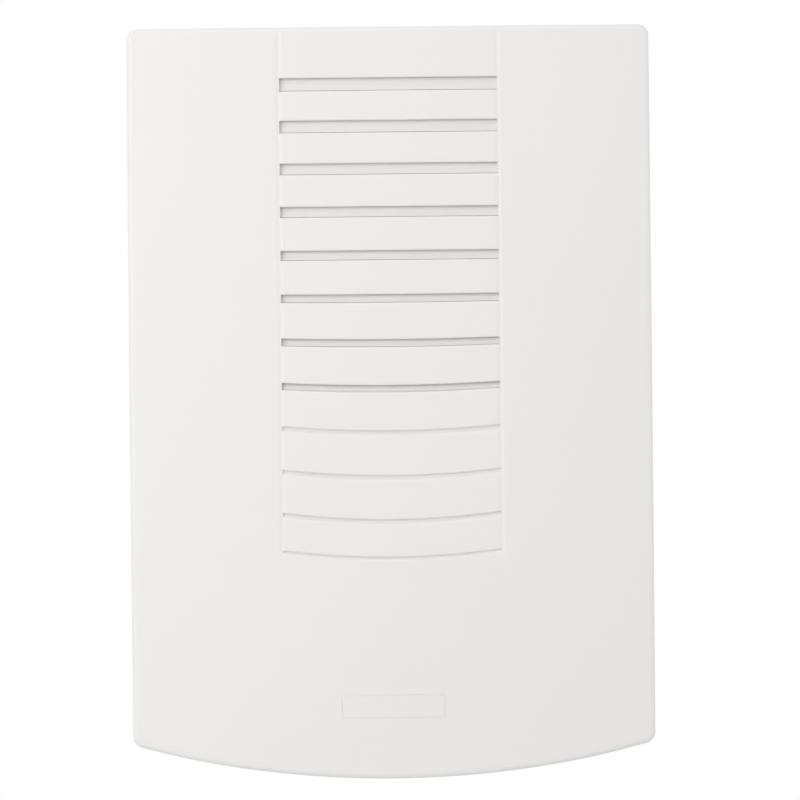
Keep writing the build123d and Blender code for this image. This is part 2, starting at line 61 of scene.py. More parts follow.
def feed(tree, source, socket):
    """Link a source to a socket, or set the socket where the source is a plain value."""
    if isinstance(source, bpy.types.NodeSocket):
        tree.links.new(source, socket)
    else:
        socket.default_value = source


def add_noise(tree, place, scale, detail, rough=0.5):
    """Cloudy noise at a place."""
    noise = tree.nodes.new("ShaderNodeTexNoise")
    values = {"Vector": place, "Scale": scale, "Detail": detail, "Roughness": rough}
    for label, value in values.items():
        feed(tree, value, noise.inputs[label])
    return noise.outputs["Fac"]


def add_range(tree, value, source=(0, 1), target=(0, 1)):
    """A value taken evenly from one range to another."""
    spread = tree.nodes.new("ShaderNodeMapRange")
    feed(tree, value, spread.inputs["Value"])
    for label, end in zip(("From Min", "From Max", "To Min", "To Max"), source + target):
        feed(tree, end, spread.inputs[label])
    return spread.outputs["Result"]


def mix_colours(tree, share, first, second):
    """The first colour where the share is 0, the second where it is 1."""
    blend = tree.nodes.new("ShaderNodeMix")
    blend.data_type = "RGBA"
    for label, value in {"Factor": share, "A": first, "B": second}.items():
        feed(tree, value, blend.inputs[label])
    return blend.outputs["Result"]


def start_group(name, inputs):
    """A shader node group with the given inputs, for a colour, a roughness and a height."""
    colour, number, vector = "NodeSocketColor", "NodeSocketFloat", "NodeSocketVector"
    group = bpy.data.node_groups.new(name, "ShaderNodeTree")
    for label, value in inputs.items():
        kind = number if isinstance(value, float) else {3: vector, 4: colour}[len(value)]
        socket = group.interface.new_socket(label, in_out="INPUT", socket_type=kind)
        socket.default_value = value
    for label, kind in (("Colour", colour), ("Roughness", number), ("Height", number)):
        group.interface.new_socket(label, in_out="OUTPUT", socket_type=kind)
    given = group.nodes.new("NodeGroupInput").outputs
    place = group.nodes.new("ShaderNodeTexCoord").outputs["Object"]
    return group, given, place


def close_group(group, given, colour, gloss_map, relief):
    """Put out the colour, the gloss as a map spreads it between its two limits, and the relief."""
    gloss = add_range(group, gloss_map, target=(given["Gloss low"], given["Gloss high"]))
    result = group.nodes.new("NodeGroupOutput")
    for label, value in {"Colour": colour, "Roughness": gloss, "Height": relief}.items():
        feed(group, value, result.inputs[label])


def make_moulded_group():
    """Spark-eroded mould texture: fine grain, faint clouds of shade and of gloss."""
    inputs = {
        "Colour": base_white,
        "Shade": base_shade,
        "Grain": 2600.0,
        "Gloss low": 0.38,
        "Gloss high": 0.5,
    }
    group, given, place = start_group("moulded_surface", inputs)
    grain = add_noise(group, place, scale=given["Grain"], detail=3, rough=0.6)
    clouds = add_noise(group, place, scale=26, detail=4)
    colour = mix_colours(group, clouds, given["Colour"], given["Shade"])
    close_group(group, given, colour, gloss_map=grain, relief=grain)
    return group


def surface_material(name, group, values, bump, metallic=0.0, edge=0.0):
    """A material with a group's colour, gloss and relief, and edges that look rounded."""
    material = bpy.data.materials.new(name)
    material.use_nodes = True
    tree = material.node_tree
    shader = tree.nodes["Principled BSDF"]
    shader.inputs["Metallic"].default_value = metallic
    surface = tree.nodes.new("ShaderNodeGroup")
    surface.node_tree = group
    for label, value in values.items():
        surface.inputs[label].default_value = value
    relief = tree.nodes.new("ShaderNodeBump")
    relief.inputs["Distance"].default_value = bump
    tree.links.new(surface.outputs["Colour"], shader.inputs["Base Color"])
    tree.links.new(surface.outputs["Roughness"], shader.inputs["Roughness"])
    tree.links.new(surface.outputs["Height"], relief.inputs["Height"])
    tree.links.new(relief.outputs["Normal"], shader.inputs["Normal"])
    if edge:
        rounding = tree.nodes.new("ShaderNodeBevel")
        rounding.samples = 4
        rounding.inputs["Radius"].default_value = edge
        tree.links.new(rounding.outputs["Normal"], relief.inputs["Normal"])
    return material


def dress(node, material):
    """Give a CAD node a material in each of its slots."""
    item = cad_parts[node]
    for place in item.material_slots:
        place.material = material


moulded_group = make_moulded_group()
base_plastic = surface_material(
    "base_plastic",
    moulded_group,
    {"Colour": base_white, "Shade": base_shade, "Grain": 2000.0},
    bump=0.02 * mm,
    edge=0.3 * mm,
)
dress("back_base", base_plastic)


# Tone bars. Two flat bars of zinc-plated steel, sawn to the lengths that set the two notes and
# punched with a hole at each point that stays still as the bar rings.
plated_steel = (0.60, 0.61, 0.63, 1)
plated_shade = (0.46, 0.47, 0.50, 1)
worn_bright = (0.78, 0.78, 0.78, 1)
worn_reach = 0.25 * mm


def make_metal_group():
    """Worked metal: fine marks along one way, clouds of tone and brighter worn edges."""
    inputs = {
        "Colour": plated_steel,
        "Shade": plated_shade,
        "Marks": (60.0, 60.0, 4.0),
        "Clouds": 90.0,
        "Gloss low": 0.24,
        "Gloss high": 0.42,
    }
    group, given, place = start_group("worked_metal", inputs)
    stretch = group.nodes.new("ShaderNodeMapping")
    feed(group, place, stretch.inputs["Vector"])
    feed(group, given["Marks"], stretch.inputs["Scale"])
    marks = add_noise(group, stretch.outputs["Vector"], scale=70, detail=5)
    clouds = add_noise(group, place, scale=given["Clouds"], detail=5, rough=0.65)
    tone_share = add_range(group, clouds, source=(0.3, 0.7))
    tone = mix_colours(group, tone_share, given["Colour"], given["Shade"])
    rounding = group.nodes.new("ShaderNodeBevel")
    rounding.samples = 4
    rounding.inputs["Radius"].default_value = worn_reach
    flat = group.nodes.new("ShaderNodeNewGeometry")
    turned = group.nodes.new("ShaderNodeVectorMath")
    turned.operation = "DOT_PRODUCT"
    feed(group, rounding.outputs["Normal"], turned.inputs[0])
    feed(group, flat.outputs["Normal"], turned.inputs[1])
    worn_share = add_range(group, turned.outputs["Value"], source=(0.99, 0.85))
    colour = mix_colours(group, worn_share, tone, worn_bright)
    close_group(group, given, colour, gloss_map=marks, relief=marks)
    return group


metal_group = make_metal_group()
bar_steel = surface_material(
    "bar_steel",
    metal_group,
    {"Marks": (60.0, 60.0, 3.0)},
    bump=0.006 * mm,
    metallic=1.0,
    edge=0.25 * mm,
)
for node in ("tone_bar_low", "tone_bar_high"):
    dress(node, bar_steel)


# Grommets. Soft black rubber spools pressed into the bars' holes. They keep the bars off their
# studs, so that the bars ring.
rubber = surface_material(
    "grommet_rubber",
    moulded_group,
    {
        "Colour": (0.022, 0.022, 0.023, 1),
        "Shade": (0.035, 0.034, 0.034, 1),
        "Grain": 1800.0,
        "Gloss low": 0.55,
        "Gloss high": 0.75,
    },
    bump=0.02 * mm,
    edge=0.3 * mm,
)
for node in ("bar_grommets_left", "bar_grommets_right"):
    dress(node, rubber)


# Caps. Four small caps moulded in natural nylon. They are pushed on the studs' ends to hold the
# bars, with the grommets between.
cap_nylon = surface_material(
    "cap_nylon",
    moulded_group,
    {
        "Colour": (0.76, 0.74, 0.67, 1),
        "Shade": (0.72, 0.70, 0.62, 1),
        "Grain": 1600.0,
        "Gloss low": 0.3,
        "Gloss high": 0.42,
    },
    bump=0.01 * mm,
    edge=0.25 * mm,
)
dress("bar_retainers", cap_nylon)


# Coil. A moulded nylon bobbin filled with enamelled copper wire under one wrap of amber film.
# Its two solder tags are tinned brass, pressed into the flanges.
bobbin_nylon = surface_material(
    "bobbin_nylon",
    moulded_group,
    {
        "Colour": (0.80, 0.78, 0.71, 1),
        "Shade": (0.77, 0.75, 0.67, 1),
        "Grain": 1600.0,
        "Gloss low": 0.32,
        "Gloss high": 0.46,
    },
    bump=0.01 * mm,
    edge=0.35 * mm,
)
dress("coil_bobbin", bobbin_nylon)
# The winding's copper, and the darker colour painted beside each turn as painted shade between the
# turns.
copper_enamel = (0.62, 0.25, 0.09, 1)
copper_painted_shade = (0.30, 0.09, 0.03, 1)
wire_share = 0.6


def add_math(tree, operation, *values):
    """The result of one operation on two or three values."""
    node = tree.nodes.new("ShaderNodeMath")
    node.operation = operation
    for slot, value in enumerate(values):
        feed(tree, value, node.inputs[slot])
    return node.outputs["Value"]


def make_wound_group():
    """Fine turns of wire side by side along the coil, bare or seen through a film, with painted shade
    between the turns and a painted highlight on their crests.
    """
    inputs = {
        "Colour": copper_enamel,
        "Shade": copper_painted_shade,
        "Turns": 850.0,
        "Gloss low": 0.27,
        "Gloss high": 0.33,
    }
    group, given, place = start_group("wound_wire", inputs)
    wire = group.nodes.new("ShaderNodeTexWave")
    wire.wave_profile = "SIN"
    wire.inputs["Distortion"].default_value = 0.6
    wire.inputs["Detail"].default_value = 1
    wire.inputs["Detail Scale"].default_value = 0.6
    feed(group, place, wire.inputs["Vector"])
    feed(group, given["Turns"], wire.inputs["Scale"])
    clouds = add_noise(group, place, scale=160, detail=3)
    # The colour runs from the painted shade at the sides of each turn to the full colour on its crest,
    # which is a painted highlight, with real clouds of tone over both.
    crest = add_math(group, "MULTIPLY_ADD", wire.outputs["Fac"], wire_share, clouds)
    colour = mix_colours(group, crest, given["Shade"], given["Colour"])
    close_group(group, given, colour, gloss_map=clouds, relief=wire.outputs["Fac"])
    return group


def add_coat(material, weight):
    """A clear coat over a material, as enamel or film gives."""
    shader = material.node_tree.nodes["Principled BSDF"]
    shader.inputs["Coat Weight"].default_value = weight
    shader.inputs["Coat Roughness"].default_value = 0.15


wound_group = make_wound_group()
winding = surface_material("winding_enamel", wound_group, {}, bump=0.08 * mm)
# Seen through the film, the turns carry the same painted shade between them and the same painted
# highlight on their crests.
film = surface_material(
    "coil_tape",
    wound_group,
    {
        "Colour": (0.70, 0.47, 0.10, 1),
        "Shade": (0.50, 0.30, 0.05, 1),
        "Gloss low": 0.2,
        "Gloss high": 0.24,
    },
    bump=0.012 * mm,
)
add_coat(winding, weight=0.6)
add_coat(film, weight=1.0)
dress("coil_winding", winding)
dress("coil_tape", film)
tinned = surface_material(
    "tinned_metal",
    metal_group,
    {"Colour": (0.72, 0.72, 0.70, 1), "Shade": (0.60, 0.60, 0.57, 1), "Clouds": 400.0},
    bump=0.01 * mm,
    metallic=1.0,
    edge=0.1 * mm,
)
dress("coil_tags", tinned)


# Yoke. A strip of zinc-plated steel bent to a U round the coil, which closes the magnet's
# circuit. Two pan-head screws hold its tabs to the bosses of the base.
yoke_steel = surface_material(
    "yoke_steel",
    metal_group,
    {
        "Colour": (0.60, 0.59, 0.54, 1),
        "Shade": (0.50, 0.49, 0.46, 1),
        "Marks": (4.0, 60.0, 60.0),
        "Clouds": 120.0,
    },
    bump=0.008 * mm,
    metallic=1.0,
    edge=0.25 * mm,
)
dress("yoke_frame", yoke_steel)
screw_steel = surface_material(
    "screw_steel",
    metal_group,
    {
        "Colour": (0.68, 0.68, 0.69, 1),
        "Shade": (0.56, 0.56, 0.57, 1),
        "Marks": (20.0, 20.0, 20.0),
        "Clouds": 500.0,
        "Gloss low": 0.18,
        "Gloss high": 0.34,
    },
    bump=0.01 * mm,
    metallic=1.0,
    edge=0.15 * mm,
)
for node in ("yoke_screws", "terminal_block_screw", "terminal_screws"):
    dress(node, screw_steel)


# Striker. A ground rod of soft iron that slides in the bobbin, with a nylon tip pressed into
# each end. The left tip carries the collar that the spring pushes on.
core_iron = surface_material(
    "core_iron",
    metal_group,
    {
        "Colour": (0.50, 0.50, 0.50, 1),
        "Shade": (0.38, 0.375, 0.37, 1),
        "Marks": (60.0, 4.0, 4.0),
        "Gloss low": 0.26,
        "Gloss high": 0.4,
    },
    bump=0.006 * mm,
    metallic=1.0,
    edge=0.2 * mm,
)
dress("plunger_core", core_iron)
tip_nylon = surface_material(
    "tip_nylon",
    moulded_group,
    {
        "Colour": (0.83, 0.82, 0.76, 1),
        "Shade": (0.79, 0.77, 0.69, 1),
        "Grain": 1600.0,
        "Gloss low": 0.28,
        "Gloss high": 0.4,
    },
    bump=0.01 * mm,
    edge=0.2 * mm,
)
for node in ("striker_tip_left", "striker_tip_right"):
    dress(node, tip_nylon)


# Return spring. Round steel wire wound in six open turns between the yoke's left leg and the
# collar. It shortens as the coil pulls the striker to the right.
wire_radius = 0.3 * mm
wire_sides = 12
spring_radius = 5.85 * mm
spring_turns = 6
turn_steps = 32
wire_smooth = math.radians(50)
coil_axis = (-22.0 * mm, 5.0 * mm)
spring_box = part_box("return_spring")
spring_start = spring_box[0].x + wire_radius
spring_length = spring_box[1].x - spring_box[0].x - 2 * wire_radius
bpy.ops.object.select_all(action="DESELECT")
bpy.ops.mesh.primitive_circle_add(
    vertices=wire_sides,
    radius=wire_radius,
    location=(spring_start, coil_axis[0], coil_axis[1]),
)
spring = bpy.context.object
spring.name = spring.data.name = "spring_wire"
bpy.ops.object.mode_set(mode="EDIT")
bpy.ops.mesh.select_all(action="SELECT")
bpy.ops.transform.translate(value=(0, spring_radius, 0))
bpy.ops.object.mode_set(mode="OBJECT")
winder = spring.modifiers.new("wind", "SCREW")
winder.axis = "X"
winder.angle = math.radians(360)
winder.screw_offset = spring_length / spring_turns
winder.iterations = spring_turns
winder.steps = winder.render_steps = turn_steps
bpy.ops.object.modifier_apply(modifier=winder.name)
bpy.ops.object.transform_apply(location=True, rotation=True, scale=True)
bpy.ops.object.mode_set(mode="EDIT")
bpy.ops.mesh.select_all(action="SELECT")
bpy.ops.mesh.fill_holes(sides=wire_sides)
bpy.ops.mesh.select_all(action="SELECT")
bpy.ops.mesh.normals_make_consistent(inside=False)
bpy.ops.object.mode_set(mode="OBJECT")
bpy.ops.object.shade_smooth_by_angle(angle=wire_smooth)
spring_steel = surface_material(
    "spring_steel",
    metal_group,
    {
        "Colour": (0.58, 0.58, 0.58, 1),
        "Shade": (0.44, 0.43, 0.42, 1),
        "Marks": (8.0, 8.0, 8.0),
        "Clouds": 300.0,
        "Gloss low": 0.2,
        "Gloss high": 0.34,
    },
    bump=0.004 * mm,
    metallic=1.0,
)
spring.data.materials.append(spring_steel)
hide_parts("return_spring")
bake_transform(spring)


# Terminal block. Moulded in off-white plastic, with two brass tubes that take the bell wires
# from below and the coil's leads from above. Two slotted screws clamp each pole.
terminal_plastic = surface_material(
    "terminal_plastic",
    moulded_group,
    {
        "Colour": (0.78, 0.78, 0.755, 1),
        "Shade": (0.74, 0.74, 0.71, 1),
        "Grain": 2200.0,
        "Gloss low": 0.3,
        "Gloss high": 0.42,
    },
    bump=0.012 * mm,
    edge=0.3 * mm,
)
dress("terminal_body", terminal_plastic)
clamp_brass = surface_material(
    "clamp_brass",
    metal_group,
    {
        "Colour": (0.74, 0.55, 0.24, 1),
        "Shade": (0.60, 0.42, 0.17, 1),
        "Marks": (10.0, 10.0, 60.0),
        "Clouds": 300.0,
    },
    bump=0.008 * mm,
    metallic=1.0,
    edge=0.15 * mm,
)
dress("terminal_clamps", clamp_brass)


# Leads. Two short copper wires covered in dark PVC, one on each side of the coil. Each is
# soldered to a tag, hangs in one loose bend and is clamped in its terminal.
lead_radius = 0.75 * mm
lead_route = (
    (15.0, -22.0, -12.0),
    (15.0, -22.0, -16.5),
    (15.0, -22.0, -20.5),
    (11.5, -16.7, -26.75),
    (6.0, -9.4, -33.0),
    (6.0, -9.4, -37.0),
    (6.0, -9.4, -42.0),
)


def millimetres(*values):
    """Lengths given in millimetres, as metres."""
    return [value * mm for value in values]


lead_pvc = surface_material(
    "lead_insulation",
    moulded_group,
    {
        "Colour": (0.035, 0.036, 0.040, 1),
        "Shade": (0.055, 0.055, 0.058, 1),
        "Grain": 900.0,
        "Gloss low": 0.3,
        "Gloss high": 0.42,
    },
    bump=0.01 * mm,
)
for side, node in ((-1, "coil_lead_left"), (1, "coil_lead_right")):
    curve = bpy.data.curves.new(node + "_line", "CURVE")
    curve.dimensions = "3D"
    line = curve.splines.new("NURBS")
    line.points.add(len(lead_route) - 1)
    for point, (x, y, z) in zip(line.points, lead_route):
        point.co = (*millimetres(side * x, y, z), 1)
    line.order_u = 3
    line.use_endpoint_u = True
    line.resolution_u = 10
    curve.bevel_depth = lead_radius
    curve.bevel_resolution = 4
    curve.use_fill_caps = True
    lead = bpy.data.objects.new(node + "_wire", curve)
    bpy.context.scene.collection.objects.link(lead)
    bpy.ops.object.select_all(action="DESELECT")
    lead.select_set(True)
    bpy.context.view_layer.objects.active = lead
    bpy.ops.object.convert(target="MESH")
    lead = bpy.context.object
    bpy.ops.object.shade_smooth_by_angle(angle=wire_smooth)
    lead.data.materials.clear()
    lead.data.materials.append(lead_pvc)
    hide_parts(node)
    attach(lead, "base")


# Cover. One shell moulded in white ABS with drafted walls and a front crowned both ways. A
# slatted strip runs down its middle: eight louvres and four grooves that bow towards the
# bottom, between two long shallow grooves. It is pushed on over the rim of the base.
half_width = 54.0 * mm
half_height = 77.5 * mm
case_depth = 44.0 * mm
cover_rear = -0.4 * mm
bottom_bow = 7.25 * mm
wall_thick = 2.0 * mm
front_thick = 2.4 * mm
front_y = -case_depth
inner_y = front_y + front_thick
flat_bottom = bottom_bow - half_height
merge_reach = 0.002 * mm

# A face looks along an axis where its normal has more than this along it.
facing = 0.9


def pick_faces(piece, wanted):
    """Select in edit mode the faces whose middle and normal are wanted."""
    bpy.ops.mesh.select_mode(type="FACE")
    mesh = bmesh.from_edit_mesh(piece.data)
    for face in mesh.faces:
        face.select_set(bool(wanted(face.calc_center_median(), face.normal)))
    bmesh.update_edit_mesh(piece.data)


def pick_edges(piece, wanted):
    """Select in edit mode the edges whose two ends, and the normals beside them, are wanted."""
    bpy.ops.mesh.select_mode(type="EDGE")
    mesh = bmesh.from_edit_mesh(piece.data)
    for edge in mesh.edges:
        edge.select_set(False)
    for edge in mesh.edges:
        first, second = (corner.co for corner in edge.verts)
        if wanted(first, second, [face.normal for face in edge.link_faces]):
            edge.select_set(True)
    mesh.select_flush_mode()
    bmesh.update_edit_mesh(piece.data)


def near(value, target):
    """Whether two places are the same to a hundredth of a millimetre."""
    return abs(value - target) < 0.01 * mm


def moulded_tray(inset, front, top_corner, foot_corner, front_edge, edge_steps, corner_steps=6):
    """A tray open at the back, with rounded corners and a rounded front edge."""
    bpy.ops.object.select_all(action="DESELECT")
    low, high = flat_bottom + inset, half_height - inset
    bpy.ops.mesh.primitive_cube_add(
        size=1,
        location=(0, (front + cover_rear) / 2, (low + high) / 2),
        scale=(2 * (half_width - inset), cover_rear - front, high - low),
    )
    tray = bpy.context.object
    bpy.ops.object.transform_apply(location=True, rotation=True, scale=True)
    bpy.ops.object.mode_set(mode="EDIT")
    for level, corner in ((high, top_corner), (low, foot_corner)):
        pick_edges(
            tray,
            lambda first, second, sides: near(first.x, second.x)
            and near(first.z, level)
            and near(second.z, level),
        )
        bpy.ops.mesh.bevel(offset=corner, segments=corner_steps, affect="EDGES")
    pick_faces(tray, lambda middle, normal: normal.y > facing)
    bpy.ops.mesh.delete(type="FACE")
    pick_edges(tray, lambda first, second, sides: near(first.y, front) and near(second.y, front))
    bpy.ops.mesh.bevel(offset=front_edge, segments=edge_steps, affect="EDGES")
    bpy.ops.object.mode_set(mode="OBJECT")
    return tray


front_cover = moulded_tray(
    inset=0,
    front=front_y,
    top_corner=2.2 * mm,
    foot_corner=1.7 * mm,
    front_edge=1.0 * mm,
    edge_steps=4,
)
lining = moulded_tray(
    inset=wall_thick,
    front=inner_y,
    top_corner=1.2 * mm,
    foot_corner=0.8 * mm,
    front_edge=0.6 * mm,
    edge_steps=2,
)
bpy.ops.object.mode_set(mode="EDIT")
bpy.ops.mesh.select_all(action="SELECT")
bpy.ops.mesh.flip_normals()
bpy.ops.object.mode_set(mode="OBJECT")
front_cover.select_set(True)
lining.select_set(True)
bpy.context.view_layer.objects.active = front_cover
bpy.ops.object.join()
front_cover.name = front_cover.data.name = "cover_shell"
bpy.ops.object.mode_set(mode="EDIT")
pick_edges(
    front_cover,
    lambda first, second, sides: near(first.y, cover_rear) and near(second.y, cover_rear),
)
bpy.ops.mesh.bridge_edge_loops()

# The rows of the strip from the top down: the height, opening and bow of each at its middle.
row_heights = millimetres(
    65.2, 56.55, 47.85, 39.05, 30.15, 21.4, 12.5, 3.5, -5.425, -14.325, -23.075, -30.525
)
row_openings = millimetres(2.65, 2.5, 2.3, 2.15, 1.95, 1.65, 1.5, 1.35, 1.45, 1.45, 1.4, 0.85)
row_bows = millimetres(0, 0, 0, 0, 0, 0.1, 0.35, 0.65, 1.1, 1.35, 1.55, 1.5)
row_spans = [
    (height - opening / 2, height + opening / 2)
    for height, opening in zip(row_heights, row_openings)
]
louvre_rows = 8
louvre_spans = row_spans[:louvre_rows]
groove_spans = row_spans[louvre_rows:]
strip_half = 22.25 * mm

# A louvre is a recess with a lip over it and a fine seam at its foot. The seams get shallower
# from row to row.
lip_thick = 0.9 * mm
recess_deep = 1.35 * mm
louvre_foot = 0.95 * mm
louvre_rise = 0.8 * mm
seam = 0.1 * mm
first_seam_deep = 0.5 * mm
seam_fall = 0.05 * mm
seam_depths = [first_seam_deep - row * seam_fall for row in range(louvre_rows)]
groove_depths = millimetres(0.75, 0.75, 0.75, 0.55)
groove_shares = (0.2, 0.4, 0.6, 0.8)

# The long grooves beside the strip, the line round the name field and the stop ribs.
edge_groove_middle = strip_half + 0.15 * mm
edge_groove_half = 0.75 * mm
edge_groove_deep = 0.15 * mm
edge_groove_end = -30.9 * mm
edge_groove_run = 0.4 * mm
edge_groove_steps = millimetres(-0.6, -0.35, 0, 0.35, 0.65, 0.9)
field_half = 10.65 * mm
field_low = -64.65 * mm
field_high = -59.7 * mm
field_line = 0.3 * mm
field_deep = 0.12 * mm
rib_half = 1.15 * mm
rib_level = 47.85 * mm
rib_front = -15.1 * mm
rib_back = -8.1 * mm
rib_reach = 1.9 * mm

# Where the draft of the side and top walls sets in, and the levels over which the bow of the
# bottom edge does.
side_draft = millimetres(42.0, 51.0)
top_draft = millimetres(69.0, 74.5)
bow_levels = millimetres(-66.3, -66.9, -67.5, -68.0)

# The shell is cut at every line that its form needs, and between them as often as these say.
column_reach = 2.6 * mm
row_reach = 3.0 * mm
reach_slack = 0.2
cut_reach = 0.005 * mm


def cut_planes(axis, values):
    """Cut everything by planes across an axis, which leaves a line of points on each."""
    normal = [0, 0, 0]
    normal[axis] = 1
    for value in values:
        point = [0, 0, 0]
        point[axis] = value
        bpy.ops.mesh.select_all(action="SELECT")
        bpy.ops.mesh.bisect(plane_co=point, plane_no=normal, threshold=cut_reach)


def even_steps(values, reach):
    """Values and as many more between them as keep every step about within reach."""
    values = sorted(set(values))
    places = [values[0]]
    for value in values[1:]:
        start = places[-1]
        parts = max(1, math.ceil((value - start) / reach - reach_slack))
        places += [start + (value - start) * (part + 1) / parts for part in range(parts)]
    return places


columns = [strip_half + step for step in edge_groove_steps]
columns += [field_half - field_line, field_half, rib_half, side_draft[1]]
rows = [edge for span in row_spans for edge in span]
rows += [high + louvre_rise for low, high in louvre_spans]
rows += [low + seam for low, high in louvre_spans]
rows += [low + share * (high - low) for low, high in groove_spans for share in groove_shares]
rows += [edge_groove_end - edge_groove_run - seam, top_draft[1]]
rows += [field_low, field_low + field_line, field_high - field_line, field_high]
rows += [side * rib_level + step for side in (-1, 1) for step in (-rib_half, rib_half)]
cut_planes(0, even_steps([side * place for side in (-1, 1) for place in columns], column_reach))
cut_planes(2, even_steps(rows + bow_levels, row_reach))
cut_planes(1, (rib_front, rib_back))


def push_in(piece, wanted, steps):
    """Extrude the wanted faces along Y by each step in turn."""
    pick_faces(piece, wanted)
    for step in steps:
        bpy.ops.mesh.extrude_region_move(TRANSFORM_OT_translate={"value": (0, step, 0)})


def in_strip(middle, low, high):
    """Whether a face's middle is in the strip between two heights."""
    return abs(middle.x) < strip_half and low < middle.z < high


def in_field(middle, inset):
    """Whether a face's middle is in the name field, less an inset all round."""
    level = field_low + inset < middle.z < field_high - inset
    return abs(middle.x) < field_half - inset and level


# Each louvre is a recess from the front and a channel from behind, which meet above its floor
# behind the lip of the slat over it, so that sound gets out and nothing is seen straight on.
window = (front_y + lip_thick, front_y + recess_deep)
for (low, high), seam_deep in zip(louvre_spans, seam_depths):
    push_in(
        front_cover,
        lambda middle, normal: near(middle.y, front_y) and in_strip(middle, low, high),
        (lip_thick, recess_deep - lip_thick),
    )
    push_in(
        front_cover,
        lambda middle, normal: near(middle.y, inner_y) and in_strip(middle, high, high + louvre_rise),
        (recess_deep - front_thick, lip_thick - recess_deep),
    )
    pick_faces(
        front_cover,
        lambda middle, normal: near(middle.z, high)
        and abs(normal.z) > facing
        and window[0] < middle.y < window[1]
        and abs(middle.x) < strip_half,
    )
    bpy.ops.mesh.delete(type="FACE")
    push_in(
        front_cover,
        lambda middle, normal: near(middle.y, window[1])
        and normal.y < -facing
        and in_strip(middle, low, low + seam),
        (seam_deep,),
    )
for (low, high), groove_deep in zip(groove_spans, groove_depths):
    push_in(
        front_cover,
        lambda middle, normal: near(middle.y, front_y) and in_strip(middle, low, high),
        (groove_deep,),
    )
push_in(
    front_cover,
    lambda middle, normal: near(middle.y, front_y)
    and in_field(middle, 0)
    and not in_field(middle, field_line),
    (field_deep,),
)
bpy.ops.mesh.select_all(action="SELECT")
bpy.ops.mesh.remove_doubles(threshold=merge_reach)

# Stop ribs inside the walls, two on each side wall and one on each of the other two. Their ends
# rest on the base's rim.
for side, wall_level in ((-1, -flat_bottom), (1, half_height)):
    for axis, along, wall, level in ((0, 2, half_width, rib_level), (2, 0, wall_level, 0)):
        pick_faces(
            front_cover,
            lambda middle, normal: near(middle[axis], side * (wall - wall_thick))
            and rib_front < middle.y < rib_back
            and abs(abs(middle[along]) - level) < rib_half,
        )
        step = [0, 0, 0]
        step[axis] = -side * rib_reach
        bpy.ops.mesh.extrude_region_move(TRANSFORM_OT_translate={"value": step})

# Round the rims of the louvres and grooves. A groove's foot has none: its floor meets the face.
rim_round = 0.3 * mm
rim_steps = 3
lip_stretch = 0.6
strip_play = 0.02 * mm
strip_foot = -35.0 * mm


def is_rim(first, second, sides):
    """Whether an edge is on the rim of a louvre or groove, and not a groove's foot."""
    for end in (first, second):
        if not near(end.y, front_y) or abs(end.x) > strip_half + strip_play or end.z < strip_foot:
            return False
    foot = any(near(first.z, low) and near(second.z, low) for low, high in groove_spans)
    square = len(sides) == 2 and abs(sides[0].dot(sides[1])) < 0.5
    return square and not foot


pick_edges(front_cover, is_rim)
bpy.ops.mesh.bevel(offset=rim_round, segments=rim_steps, affect="EDGES", clamp_overlap=False)
bpy.ops.object.mode_set(mode="OBJECT")

# Give the flat shell its real form: the floors, the long grooves beside the strip, the rows'
# bow, the bow of the bottom edge, the mould's draft and the crown of the front.
mould_draft = math.radians(0.7)
crown_up = 1000.0 * mm
crown_across = 970.0 * mm
row_bow_end = -44.0 * mm
bow_radius = (half_width**2 + bottom_bow**2) / (2 * bottom_bow)


def ramp(value, low, high):
    """0 below low, 1 above high and even between them."""
    return min(1, max(0, (value - low) / (high - low)))


def row_sag(x, z):
    """How far a point of the strip is lowered by the bow of the rows round it."""
    share = 1 - (x / strip_half) ** 2
    if share <= 0:
        return 0
    levels = [(row_bow_end, 0)] + list(zip(row_heights, row_bows))[::-1]
    for (low, low_bow), (high, high_bow) in zip(levels, levels[1:]):
        if low <= z <= high:
            return share * (low_bow + (high_bow - low_bow) * (z - low) / (high - low))
    return 0


def groove_at(x, z):
    """Depth of the long groove beside the strip at a point."""
    off = abs(abs(x) - edge_groove_middle) / edge_groove_half
    if off >= 1:
        return 0
    across = (1 + math.cos(math.pi * off)) / 2
    return edge_groove_deep * across * ramp(z, edge_groove_end - edge_groove_run, edge_groove_end)


def floor_at(y, z):
    """Depth of a point of the strip. A floor is deepest under the slat over it and rises to its foot."""
    depth = y - front_y
    for row, (low, high) in enumerate(row_spans):
        if not low - seam / 2 < z < high - seam / 2:
            continue
        share = max(0, z - low) / (high - low)
        if row >= louvre_rows:
            floor = groove_depths[row - louvre_rows] * (1 - math.cos(math.pi * share)) / 2
            return min(depth, floor)
        floor = louvre_foot + (recess_deep - louvre_foot) * share
        if depth > recess_deep + seam_depths[row] / 2:
            return floor + seam_depths[row]
        return min(depth, floor)
    return depth


def lip_at(x, z):
    """How far the rounding of a slat's upper edge is drawn down, to be taller than deep."""
    for low, high in louvre_spans:
        if 0 < low - z < rim_round + seam / 2 and abs(x) < strip_half + rim_round:
            return lip_stretch * (low - z)
    return 0


def bow_at(x):
    """How much lower the bottom edge is at x than at the corners."""
    return math.sqrt(bow_radius**2 - min(abs(x), half_width) ** 2) - bow_radius + bottom_bow


def crown_at(x, z):
    """How far the front falls back at a point."""
    axis_reach = crown_up - crown_across + math.sqrt(crown_across**2 - x**2)
    return crown_up - math.sqrt(axis_reach**2 - z**2)


